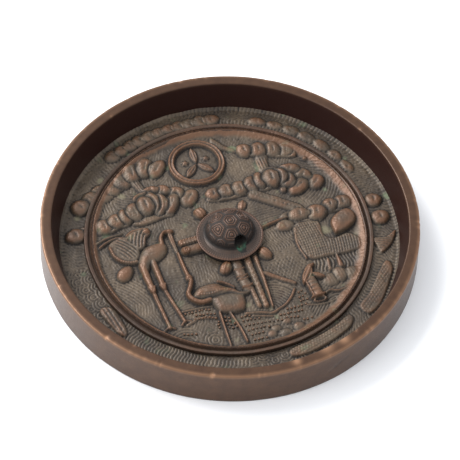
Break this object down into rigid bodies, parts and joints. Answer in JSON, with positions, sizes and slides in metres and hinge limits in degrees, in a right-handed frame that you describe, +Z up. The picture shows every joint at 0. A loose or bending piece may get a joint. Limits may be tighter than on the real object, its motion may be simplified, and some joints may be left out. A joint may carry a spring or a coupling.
{
  "type": "bronze mirror",
  "caption": "Round cast bronze mirror lying on its polished face, its back a deep rimmed field of pines, cranes and waves round a pierced turtle knob.",
  "frame": {"origin": "middle of the underside, the polished face that the mirror lies on", "axes": "+Z up through the knob, +Y from the middle toward the round crest, +X to the right with the crest at the top"},
  "size_m": [0.115, 0.115, 0.0125],
  "materials": {
    "bronze": "cast, dark brown patina, worn to copper on the raised parts"
  },
  "bodies": {
    "root": {"mirror": "bronze"}
  },
  "joints": []
}
